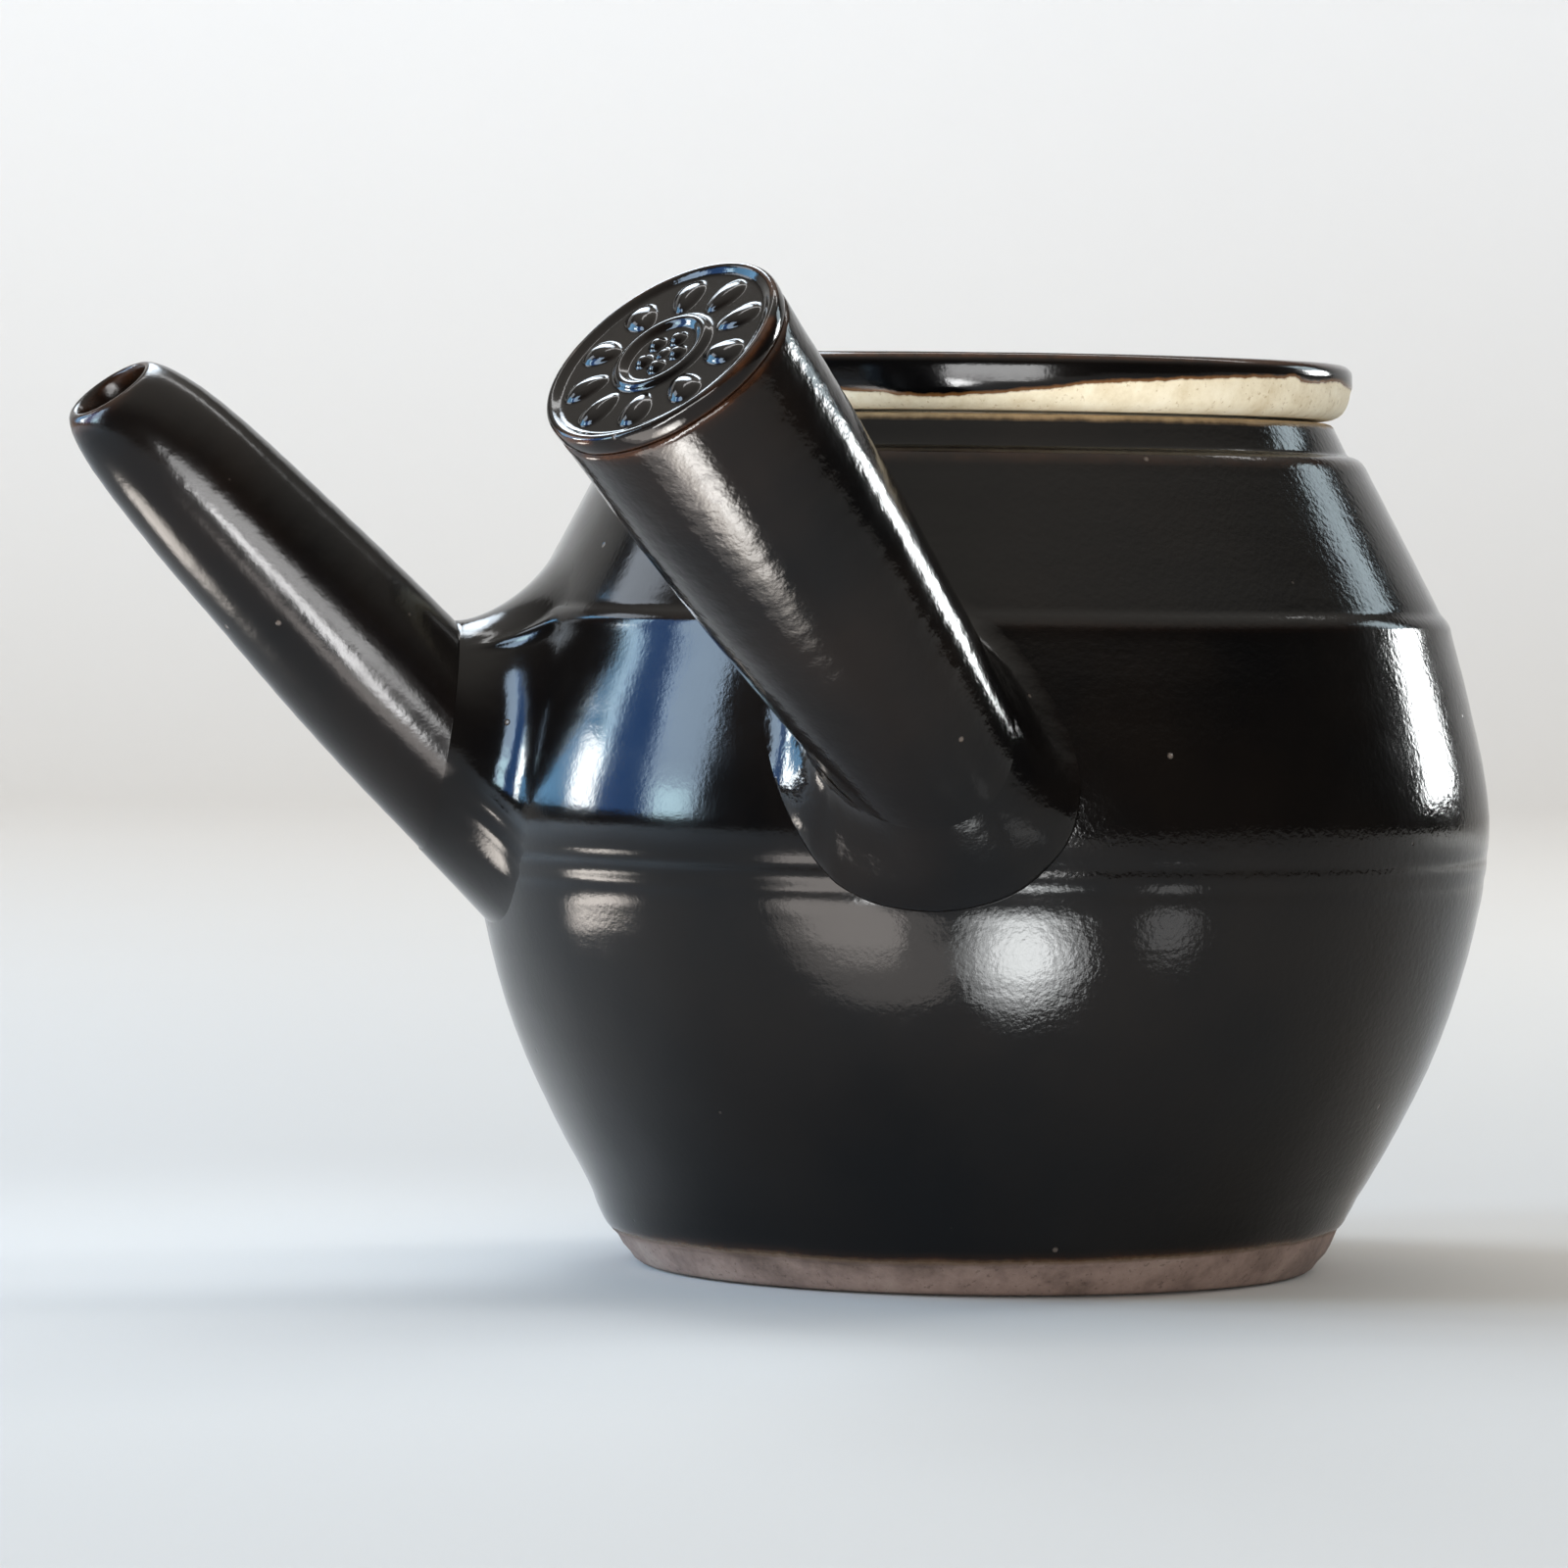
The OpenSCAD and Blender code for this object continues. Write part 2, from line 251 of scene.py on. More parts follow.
def addNode(tree, kind, inputs=None, **settings):
    node = tree.nodes.new(kind)
    for key, value in settings.items():
        setattr(node, key, value)
    for key, value in (inputs or {}).items():
        if isinstance(value, bpy.types.NodeSocket):
            tree.links.new(value, node.inputs[key])
        else:
            node.inputs[key].default_value = value
    return node


def newMaterial(name):
    # an empty material, its nodes, and the place on the piece
    material = bpy.data.materials.new(name)
    material.use_nodes = True
    tree = material.node_tree
    tree.nodes.clear()
    return material, tree, addNode(tree, "ShaderNodeTexCoord").outputs["Object"]


def addSurface(tree, inputs):
    shader = addNode(tree, "ShaderNodeBsdfPrincipled", inputs)
    addNode(tree, "ShaderNodeOutputMaterial", {"Surface": shader.outputs["BSDF"]})


def mixColours(tree, factor, first, second):
    node = addNode(tree, "ShaderNodeMix", data_type="RGBA")
    for socket, value in ((node.inputs[0], factor), (node.inputs[6], first), (node.inputs[7], second)):
        if isinstance(value, bpy.types.NodeSocket):
            tree.links.new(value, socket)
        else:
            socket.default_value = value
    return node.outputs[2]


def rampOf(tree, factor, stops):
    node = addNode(tree, "ShaderNodeValToRGB", {"Fac": factor})
    ramp = node.color_ramp
    while len(ramp.elements) < len(stops):
        ramp.elements.new(0.5)
    for element, (place, colour) in zip(ramp.elements, stops):
        element.position = place
        element.color = (*colour, 1)
    return node.outputs["Color"]


def mapRange(tree, value, low, high, to0=0.0, to1=1.0):
    inputs = {"Value": value, "From Min": low, "From Max": high, "To Min": to0, "To Max": to1}
    return addNode(tree, "ShaderNodeMapRange", inputs).outputs["Result"]


def mathNode(tree, operation, a, b=0.0):
    return addNode(tree, "ShaderNodeMath", {0: a, 1: b}, operation=operation).outputs[0]


def noiseOf(tree, place, scale, detail, rough=0.5):
    inputs = {"Vector": place, "Scale": scale, "Detail": detail, "Roughness": rough}
    return addNode(tree, "ShaderNodeTexNoise", inputs).outputs["Fac"]


def bumpOf(tree, height, depth, under=None, strength=1.0):
    # depth in mm, on top of the bump under it
    inputs = {"Strength": strength, "Distance": depth * mm, "Height": height}
    if under is not None:
        inputs["Normal"] = under
    return addNode(tree, "ShaderNodeBump", inputs).outputs["Normal"]


def makeGlaze(name, look):
    material, tree, place = newMaterial(name)

    def noiseAt(scale, detail=3.0, rough=0.55):
        return noiseOf(tree, place, scale, detail, rough)

    def markOf(mark):
        return addNode(tree, "ShaderNodeAttribute", attribute_name=mark).outputs["Fac"]

    def times(a, b):
        return mathNode(tree, "MULTIPLY", a, b)

    # glaze colour: black, drifting to brown where it is thinner, rust on edges
    glaze = rampOf(tree, noiseAt(look["driftScale"], 4.0), [(0.36, look["deep"]), (0.66, look["warm"])])
    breakUp = mapRange(tree, noiseAt(420, 4.0, 0.65), 0.35, 0.65)
    rusty = times(markOf("thinGlaze"), mapRange(tree, breakUp, 0, 1, 0.35, 1.0))
    glaze = mixColours(tree, rusty, glaze, (*look["rust"], 1))

    # pinholes: sparse dots, dark pits with a pale speck
    cells = addNode(tree, "ShaderNodeTexVoronoi", {"Vector": place, "Scale": look["pinScale"], "Randomness": 1.0},
                    feature="F1")
    dot = mapRange(tree, cells.outputs["Distance"], 0.035, 0.075, 1.0, 0.0)
    chance = addNode(tree, "ShaderNodeSeparateColor", {"Color": cells.outputs["Color"]}).outputs[0]
    pin = times(dot, mapRange(tree, chance, 0.70, 0.72))
    glaze = mixColours(tree, times(pin, 0.5), glaze, (*look["pinSpeck"], 1))

    # bare clay past the glaze line; the mark is the distance from that line in mm
    ragged = mathNode(tree, "ADD", markOf("glazeLine"), mapRange(tree, noiseAt(700), 0.2, 0.8, -0.16, 0.16))
    covered = mapRange(tree, ragged, -look["edgeSoft"], look["edgeSoft"])
    clay = rampOf(tree, noiseAt(look["clayScale"], 6.0, 0.7),
                  [(0.30, look["clayDark"]), (0.52, look["clay"]), (0.74, look["clayPale"])])
    speck = mapRange(tree, noiseAt(1500, 2.0), 0.63, 0.68)
    clay = mixColours(tree, times(speck, 0.45), clay, (*look["claySpeck"], 1))
    clay = mixColours(tree, markOf("tanClay"), clay, (*look["tan"], 1))
    colour = mixColours(tree, covered, clay, glaze)

    # the stain along that line
    offLine = mathNode(tree, "ABSOLUTE", mathNode(tree, "ADD", ragged, -0.12))
    near = mapRange(tree, offLine, 0.02, look["ochreWidth"], 1.0, 0.0)
    colour = mixColours(tree, times(near, look["ochreAmount"]), colour, (*look["ochre"], 1))

    # gloss varies a little, bare clay is dull
    glossy = mapRange(tree, noiseAt(130), 0.3, 0.7, *look["rough"])
    roughness = mapRange(tree, covered, 0.0, 1.0, look["clayRough"], glossy)

    # skin: orange peel, fine grain and pits
    start, full, least = look["peelFrom"]
    across = addNode(tree, "ShaderNodeSeparateXYZ", {"Vector": place}).outputs["X"]
    patchy = times(mapRange(tree, noiseAt(24, 2.0), 0.3, 0.52, 0.6, 1.0),
                   mapRange(tree, across, start * mm, full * mm, least, 1.0))
    skin = bumpOf(tree, noiseAt(look["peelScale"], 2.0), look["peel"], strength=patchy)
    skin = bumpOf(tree, noiseAt(look["grainScale"], 3.0, 0.6), look["grain"], skin)
    skin = bumpOf(tree, times(pin, -1.0), look["pinDepth"], skin)

    addSurface(tree, {"Base Color": colour, "Roughness": roughness, "Specular IOR Level": look["specular"],
                      "Normal": skin})
    return material


glazeLook = {
    "deep": (0.0013, 0.0012, 0.0013), "warm": (0.0036, 0.0027, 0.0022), "driftScale": 45,
    "rust": (0.085, 0.032, 0.013), "specular": 0.28, "rough": (0.09, 0.15),
    "clay": (0.23, 0.16, 0.132), "clayDark": (0.105, 0.071, 0.056), "clayPale": (0.32, 0.245, 0.2),
    "claySpeck": (0.06, 0.04, 0.03), "clayScale": 120, "clayRough": 0.78, "edgeSoft": 0.3, "tan": (0.52, 0.37, 0.20),
    "ochre": (0.16, 0.10, 0.05), "ochreWidth": 0.45, "ochreAmount": 0.45,
    "peelScale": 1250, "peel": 0.042,
    "peelFrom": (-22, -4, 0.3),  # the peel grows over this stretch of x, from this share
    "grainScale": 2600, "grain": 0.007,
    "pinScale": 190, "pinSpeck": (0.16, 0.13, 0.11), "pinDepth": 0.06,
}
evenPeel = (-200, -190, 1)
brownWarm = (0.0045, 0.0031, 0.0024)
lidLook = dict(
    glazeLook, clay=(0.64, 0.565, 0.415), clayDark=(0.52, 0.43, 0.285), clayPale=(0.72, 0.66, 0.52),
    claySpeck=(0.30, 0.20, 0.10), clayScale=260, clayRough=0.6, edgeSoft=0.07,
    ochre=(0.16, 0.07, 0.022), ochreWidth=0.32, ochreAmount=0.8, peel=0.01, peelFrom=evenPeel)
handleLook = dict(
    glazeLook, warm=brownWarm, rough=(0.1, 0.16), peelScale=760, peel=0.06, peelFrom=evenPeel,
    grainScale=2400, grain=0.011)
capLook = dict(handleLook, rough=(0.06, 0.1), peelScale=1250, peel=0.012, grain=0.006)
spoutLook = dict(glazeLook, warm=brownWarm, rough=(0.14, 0.21), peel=0.02, peelFrom=evenPeel, grain=0.008)
potGlaze = makeGlaze("potGlaze", glazeLook)
lidGlaze = makeGlaze("lidGlaze", lidLook)
handleGlaze = makeGlaze("handleGlaze", handleLook)
capGlaze = makeGlaze("capGlaze", capLook)
spoutGlaze = makeGlaze("spoutGlaze", spoutLook)
print("materials made")


# pot: one thrown shell from foot to lip, its lines as (radius, height) but for the flank
pot = {
    "turns": 224,
    "foot": [(0, 0), (13, 0), (26, 0), (38.8, 0), (39.65, 0.12), (40.2, 0.5), (40.7, 1.2)],
    "bareRows": (2.2, 3.2, 4.0, 4.5),  # heights below the glaze
    "footLine": 4.75,  # height where the glaze stops
    # the glaze's thick lower edge: height, lift
    "glazeRoll": [(4.75, 0.02), (4.95, 0.16), (5.2, 0.24), (5.6, 0.27), (6.2, 0.25), (7.2, 0.2)],
    "wallRows": (8.6, 1.2), "grooveRows": (43.4, 50.2, 0.2),  # first height and step; between these, a finer step
    # height, radius
    "flank": [(0, 40.4), (5.0, 43.2), (10.7, 46.4), (16.6, 49.6), (22.4, 52.45), (27.5, 54.6), (34, 56.75),
              (39.9, 58.25), (44.5, 59.2), (48.5, 59.75), (53, 60.0), (57.2, 59.6), (61.9, 58.7), (66.5, 57.6),
              (71.1, 56.4), (75.0, 55.25)],
    "wobble": (26, 0.3),  # wave and depth
    "grooves": [(46.5, 0.11, 0.9), (49.3, 0.075, 0.8)],  # height, depth, half width
    "ridge": [(55.2, 75.3), (55.13, 75.75), (54.95, 76.2), (54.65, 76.7), (54.25, 77.15), (53.9, 77.5),
              (53.66, 77.9), (53.42, 78.4)],
    "shoulder": [(53.0, 79.2), (45.9, 92.6)], "shoulderRows": 11,
    "neck": [(45.5, 93.3), (45.18, 93.95), (44.85, 94.55), (44.45, 95.1), (43.95, 95.5), (43.4, 95.75), (43.0, 95.82),
             (42.72, 95.98), (42.5, 96.3), (41.9, 97.5), (41.2, 98.85), (41.0, 99.25), (40.7, 99.52), (40.2, 99.67),
             (39.5, 99.7)],
    "mouth": [(38.2, 99.7), (37.6, 99.6), (37.2, 99.3), (37.02, 98.8), (37.0, 98.0), (37.0, 96.6), (37.25, 95.3),
              (38.2, 94.0), (39.9, 92.9)],
    "inside": [(41.9, 89.5), (46.0, 81.8), (49.4, 75.4), (51.6, 71.0), (53.6, 65.5), (54.9, 60.0), (55.5, 54.0),
               (55.3, 48.0), (54.3, 40.0), (52.4, 32.0), (49.9, 25.0), (46.6, 18.0), (43.6, 12.6), (41.2, 9.4),
               (38.6, 7.4), (35.5, 6.35), (31.0, 6.05), (16.0, 6.0), (0, 6.0)],
    "inlet": {"sides": 64, "radius": 11, "depth": 16, "place": (-58, 0, 57), "turn": (0.02, math.pi / 2, 0)},
}
flankRadius = curveThrough(pot["flank"])
flankTop = pot["flank"][-1]
neckFoot = 94
rootRadius = 59.0  # of the pot at the roots of spout and handle


def potRadius(z):
    # the outside of the pot without its grooves, for the pieces that sit on it
    if z <= flankTop[0]:
        return flankRadius(z)
    upper = [flankTop] + [(h, r) for r, h in pot["ridge"] + pot["shoulder"] + pot["neck"][:6]]
    for (z0, r0), (z1, r1) in zip(upper, upper[1:]):
        if z <= z1:
            return r0 + (r1 - r0) * (z - z0) / (z1 - z0)
    return upper[-1][1]


def potPoint(angle, z, lift=0.0):
    # a place on the pot: angle in degrees from the spout towards the handle
    r = potRadius(z) + lift
    return Vector((-r * math.cos(math.radians(angle)), -r * math.sin(math.radians(angle)), z))


def potNormal(angle, z, reach=1.5):
    slope = (potRadius(z + reach) - potRadius(z - reach)) / (2 * reach)
    return Vector((-math.cos(math.radians(angle)), -math.sin(math.radians(angle)), -slope)).normalized()


def wallDetail(z):
    # faint throwing rings, and the two grooves
    rings = 0.012 * math.sin(z * 1.9) + 0.01 * math.sin(z * 0.83 + 1)
    return rings - sum(depth * bell(z, height, width) for height, depth, width in pot["grooves"])


def wallWobble(q):
    return blendStep(9, 14, q.z) * (1 - blendStep(86, 92, q.z))


wallClouds = cloudsOf("wallWobble", pot["wobble"][0])


def wallPush(q):
    # how far the finished wall stands out at a place, for the clay worked on to it
    wave = pot["wobble"][1] * (wallClouds.evaluate(q * mm)[3] - 0.5) * wallWobble(q)
    return wave + (wallDetail(q.z) if q.z < flankTop[0] else 0)


def wallSpot(angle, z):
    spot = potPoint(angle, z)
    return spot + potNormal(angle, z) * wallPush(spot)


def wallNormal(angle, z, reach=0.8):
    across = wallSpot(angle + reach, z) - wallSpot(angle - reach, z)
    upward = wallSpot(angle, z + reach) - wallSpot(angle, z - reach)
    return across.cross(upward).normalized()


def footLine(q):
    # the glaze stops a little higher on one side, and raggedly
    a = math.atan2(q.y, q.x)
    ragged = noise.noise(Vector((math.cos(a) * 5, math.sin(a) * 5, 3.1)))
    return pot["footLine"] + 0.55 * math.cos(a + 0.35) - 0.95 * max(math.cos(a + 1.78), 0) ** 2 + 0.22 * ragged


def makePot():
    p = pot
    line = list(p["foot"])
    line += [(flankRadius(z) - 0.02, z) for z in p["bareRows"]]
    line += [(flankRadius(z) + lift, z) for z, lift in p["glazeRoll"]]
    z, step = p["wallRows"]
    low, high, fineStep = p["grooveRows"]
    while z < flankTop[0] + 0.01:
        line.append((flankRadius(z) + wallDetail(z), z))
        z += fineStep if low < z < high else step
    line += p["ridge"]
    (r0, z0), (r1, z1) = p["shoulder"]
    rows = p["shoulderRows"]
    line += [(r0 + (r1 - r0) * k / rows + 0.012 * math.sin(k * 2.1), z0 + (z1 - z0) * k / rows)
             for k in range(rows + 1)]
    line += p["neck"] + p["mouth"] + p["inside"]
    piece = turnOutline("potBody", line, p["turns"])
    for v in piece.data.vertices:  # the glaze's lower edge runs up and down a little
        q = v.co / mm
        if fromAxis(q) > 41 and 3.5 < q.z < 11:
            share = blendStep(3.5, 4.4, q.z) * (1 - blendStep(6, 11, q.z))
            v.co.z += (footLine(q) - p["footLine"]) * share * mm
    handWobble(piece, *p["wobble"], lambda q: wallWobble(q) if fromAxis(q) > potRadius(q.z) - 2 else 0)
    drillHole(piece, p["inlet"])

    def glazeMark(q):
        r = fromAxis(q)
        if q.z < 3 and r < 41.5:
            return -2.0
        if r > potRadius(min(q.z, neckFoot)) - 2.2 and q.z < 30:
            return q.z - footLine(q)
        if q.z > 98 and r > 37.3:
            return 99.3 - q.z + 0.1 * noise.noise(q * 0.35)  # the lip is wiped bare
        return 3.0

    def thinMark(q):
        if fromAxis(q) < potRadius(min(q.z, neckFoot)) - 2:
            return 0
        ridge, roll, foot = bell(q.z, 76.1, 0.55), bell(q.z, 94.9, 0.6), bell(q.z - footLine(q), 0.25, 0.5)
        return min(0.04 * ridge + 0.2 * roll + 0.5 * foot, 1)

    markPoints(piece, "glazeLine", glazeMark)
    markPoints(piece, "thinGlaze", thinMark)
    markPoints(piece, "tanClay", lambda q: 0.9 if q.z > 90 else 0)
    finishPiece(piece, "pot", "pot_body", potGlaze)


makePot()


# spout: a straight thrown tube with a rounded nose
spout = {
    "turns": 128, "root": Vector((-59.85, 0, 57.0)), "tilt": 45.7, "rowStep": 1.25,
    # distance along the axis, radius
    "outside": [(-9, 10.62), (0, 10.6), (8, 10.66), (14, 10.63), (20, 10.46), (26, 10.2), (32, 9.9), (38, 9.58),
                (44, 9.22), (47, 8.98), (50, 8.7), (53, 8.36), (56, 7.9), (58.5, 7.32)],
    # radius, distance along the axis
    "lip": [(7.0, 59.5), (6.62, 60.5), (6.2, 61.3), (5.8, 61.9), (5.45, 62.2), (5.1, 62.34), (4.8, 62.3),
            (4.58, 62.05), (4.5, 61.6)],
    "hole": [(4.5, 60.0), (4.95, 52.0), (6.05, 34.0), (7.1, 16.0), (8.0, 0.0), (8.5, -9.0)],
    "tipTilt": (12, 8),  # degrees that the tip's cut faces to the front and up
    "crease": (6.9, 8.3),  # the cut at the pot: distance along the axis at the sides, and how much more on top
    "wobble": (22, 0.25),  # wave and depth
}
spoutTilt = math.radians(spout["tilt"])
spoutAxis = Vector((-math.cos(spoutTilt), 0, math.sin(spoutTilt)))
spoutUp = Vector((math.sin(spoutTilt), 0, math.cos(spoutTilt)))
spoutRadius = curveThrough(spout["outside"])


def spoutPoint(turn, t, r):
    # turn 0 is the top of the spout, 90 degrees its front
    return spout["root"] + spoutAxis * t + (spoutUp * math.cos(turn) + Vector((0, -1, 0)) * math.sin(turn)) * r


def alongSpout(q):
    return (q - spout["root"]).dot(spoutAxis)


def makeSpout():
    p = spout
    first, last = p["outside"][0][0], p["outside"][-1][0]
    rows = [first + p["rowStep"] * k for k in range(55)]
    line = [(spoutRadius(t) + 0.015 * math.sin(t * 1.7), t) for t in rows if t < last + 0.1]
    line += p["lip"] + p["hole"]
    line.append(line[0])
    piece = turnOutline("spoutTube", line, p["turns"])
    layOnAxis(piece, p["root"], spoutAxis)
    front, up = [math.tan(math.radians(a)) for a in p["tipTilt"]]
    for v in piece.data.vertices:
        q = v.co / mm
        off = q - p["root"] - spoutAxis * alongSpout(q)
        v.co -= spoutAxis * (front * -off.y + up * off.dot(spoutUp)) * blendStep(46, 62, alongSpout(q)) * mm
    pickOnly(piece)

    def cutPoint(turn):  # a little inside the collar
        return spoutPoint(turn, p["crease"][0] - 1.2 + p["crease"][1] * math.cos(turn), spoutRadius(7))

    a, b, c = [cutPoint(turn) for turn in (0, math.pi / 2, math.pi)]
    normal = (b - a).cross(c - a).normalized()
    if normal.dot(spoutAxis) > 0:
        normal = -normal
    bpy.ops.object.mode_set(mode="EDIT")
    bpy.ops.mesh.select_all(action="SELECT")
    bpy.ops.mesh.bisect(plane_co=a * mm, plane_no=normal, clear_outer=True, use_fill=False)
    bpy.ops.mesh.select_all(action="DESELECT")
    bpy.ops.mesh.select_mode(type="EDGE")
    bpy.ops.mesh.select_non_manifold(extend=False, use_wire=False, use_boundary=True, use_multi_face=False,
                                     use_non_contiguous=False, use_verts=False)
    bpy.ops.mesh.bridge_edge_loops()
    bpy.ops.mesh.select_all(action="SELECT")
    bpy.ops.mesh.normals_make_consistent(inside=False)
    bpy.ops.object.mode_set(mode="OBJECT")
    handWobble(piece, *p["wobble"], lambda q: blendStep(10, 20, alongSpout(q)) * (1 - blendStep(54, 60, alongSpout(q))))
    glazeAllOver(piece, lambda q: 0.45 * bell(alongSpout(q), 62.0, 0.9))
    finishPiece(piece, "spout", "pot_body", spoutGlaze)


makeSpout()


# spout collar: the coil of clay worked in between pot and spout
spoutCollar = {
    "around": 144, "along": 50,
    # where it runs out on the pot: sideways and up from the spout's root, from the top round by the front
    "landing": [(0, 27.6), (8.6, 26.2), (15.2, 22.0), (18.6, 14.8), (19.6, 6.5), (19.2, -2.2), (16.6, -10.0),
                (10, -15.5), (0, -17.0), (-10, -15.5), (-16.6, -10.0), (-19.2, -2.2), (-19.6, 6.5), (-18.6, 14.8),
                (-15.2, 22.0), (-8.6, 26.2)],
    "breaks": (0.62, 0.74, 0.86, 0.94, 1.0),  # where the hidden runs begin and end, each on a row of the grid
    "creasePull": (2.5, 1.1),  # of its curve at the crease: all round, more on top
    "landPull": (7.0, 1.1, 2.5),  # of its curve at the pot: all round, less on top, less below
    "underRing": (13.5, 2.6),  # inside the pot's wall: radius, depth
}


def spoutCollarSurface(u, w):
    p = spoutCollar
    root = spout["root"]
    side, rise = loopThrough(p["landing"], u)
    turn = math.atan2(side, rise)
    z = root.z + rise
    angle = math.degrees(side / rootRadius)
    out = wallNormal(angle, z)
    low = blendStep(0.55, 1.0, (1 - math.cos(turn)) / 2)
    high = blendStep(0.45, 1.0, (1 + math.cos(turn)) / 2)
    t = spout["crease"][0] + spout["crease"][1] * math.cos(turn)
    crease = spoutPoint(turn, t, spoutRadius(t) + 0.12)
    land = wallSpot(angle, z) - out * (0.004 + 0.1 * low ** 2)
    shown = p["breaks"][0]
    if w <= shown:
        sideways = (1 - low) * (1 - high)
        radial = (crease - spoutPoint(turn, t, 0)).normalized()
        start = (Vector((1, 0, 0)) * (1 - low) - spoutAxis * low + radial * 0.4 * sideways).normalized()
        toward = crease - land
        skim = (toward - out * toward.dot(out)).normalized()
        end = (skim * (1 - low ** 2) + toward.normalized() * low ** 2).normalized()
        creasePull = p["creasePull"][0] + p["creasePull"][1] * high
        landPull = p["landPull"][0] - p["landPull"][1] * high - p["landPull"][2] * low
        return bezier(crease, crease + start * creasePull, land + end * landPull, land, w / shown)
    ring, depth = p["underRing"]
    under = potPoint(math.degrees(ring * math.sin(turn) / rootRadius), root.z + ring * math.cos(turn), -depth)
    back = spoutPoint(turn, t - 2.5, spoutRadius(t) - 3.4)
    front = spoutPoint(turn, t, spoutRadius(t) - 3.0)
    return alongChain([land, under, back, front, crease], p["breaks"], w)


def makeSpoutCollar():
    p = spoutCollar
    piece = ringOf("spoutRootCollar", spoutCollarSurface, p["around"], p["along"])
    glazeAllOver(piece, lambda q: 0)
    finishPiece(piece, "spout_collar", "pot_body", potGlaze, 50)


makeSpoutCollar()


# handle: a hollow thrown tube, wider at its end
handle = {
    "turns": 128, "rootAngle": 73.8, "rootHeight": 60.4, "heading": 33.4, "rise": 46.0, "rowStep": 0.5,
    # distance along the axis, radius
    "outside": [(-17, 5.0), (-9, 7.8), (-3, 10.0), (0, 10.5), (6, 10.9), (13, 11.5), (20, 12.05), (28, 12.72),
                (36, 13.28), (43, 13.68), (49, 13.86), (53, 13.9), (55, 13.95)],
    # radius, distance along the axis
    "end": [(14.0, 56.2), (14.06, 57.6), (14.12, 58.8), (14.1, 59.3), (13.9, 59.55), (13.4, 59.62), (10.2, 59.62),
            (10.2, 57.6), (9.6, 50), (7.6, 20), (6.2, 0), (3.4, -17)],
    "wobbles": [(20, 0.2), (4.5, 0.05)],  # wave and depth
    "airHole": {"sides": 24, "radius": 1.25, "depth": 16, "at": 20, "off": 11},
}
handleRoot = potPoint(handle["rootAngle"], handle["rootHeight"])
headingFlat = math.radians(handle["heading"])
handleAxis = Vector((-math.cos(headingFlat), -math.sin(headingFlat),
                     math.tan(math.radians(handle["rise"])))).normalized()
handleLow = (handleAxis * handleAxis.z - Vector((0, 0, 1))).normalized()  # the tube's underside
handleRight = handleAxis.cross(handleLow)
handleRadius = curveThrough(handle["outside"])


def handlePoint(turn, t, r):
    # turn 0 is the underside, 90 degrees the side away from the spout
    return handleRoot + handleAxis * t + (handleLow * math.cos(turn) + handleRight * math.sin(turn)) * r


def alongHandle(q):
    return (q - handleRoot).dot(handleAxis)


def makeHandleTube():
    p = handle
    line = []
    t, last = float(p["outside"][0][0]), p["outside"][-1][0]
    while t < last + 0.01:
        rings = 0.007 * math.sin(t * 2.3) + 0.012 * math.sin(t * 0.83 + 2)
        line.append((handleRadius(t) + rings * blendStep(6, 14, t), t))
        t += p["rowStep"]
    line += p["end"]
    line.append(line[0])
    piece = turnOutline("handleGrip", line, p["turns"])
    layOnAxis(piece, handleRoot, handleAxis)
    for wave, depth in p["wobbles"]:
        handWobble(piece, wave, depth,
                   lambda q: blendStep(6, 16, alongHandle(q)) * (1 - blendStep(50, 57, alongHandle(q))))
    # the root is cut to lie inside the pot's wall
    wallLine = [(potRadius(z) - 2.2, z) for z in range(20, neckFoot, 3)]
    cutBy(piece, turnOutline("potCore", [(0, 20)] + wallLine + [(0, 92)], 96))
    hole = p["airHole"]
    clearAll()
    bpy.ops.mesh.primitive_cylinder_add(vertices=hole["sides"], radius=hole["radius"] * mm, depth=hole["depth"] * mm)
    drill = bpy.context.object
    layOnAxis(drill, handlePoint(math.radians(-90), hole["at"], hole["off"]), handleRight)
    cutBy(piece, drill)
    glazeAllOver(piece, lambda q: 0.3 * bell(alongHandle(q), 59.35, 0.4))
    finishPiece(piece, "handle_tube", "pot_body", handleGlaze)


makeHandleTube()


# handle collar: the pad of clay worked in round the handle's root
handleCollar = {
    "around": 160, "along": 50,
    # its outline on the pot: along the wall away from the spout, and up, from the handle's root
    "landing": [(0, -15.9), (4.2, -15.3), (8.0, -13.9), (11.2, -11.4), (14.0, -7.8), (15.3, -3.2), (14.9, 1.6),
                (13.0, 6.5), (9.9, 11.5), (5.2, 16.5), (-2, 20.5), (-10, 22.5), (-17, 20.5), (-21.2, 14.5),
                (-21.6, 6.8), (-19.2, -0.8), (-16.2, -6.6), (-12.4, -12), (-8.2, -14.7), (-4, -15.7)],
    "crease": (7.0, -4.5, -7.0),  # distance along the axis: middle, change at the underside, change at the right
    "rim": 0.7, "overhang": 0.35,  # the crisp edge's height, and how far it rolls over
    "shown": 0.56,  # share of the grid that is in view; the hidden runs begin and end at the breaks
    "breaks": (0.66, 0.76, 0.86, 0.94, 1.0),
}


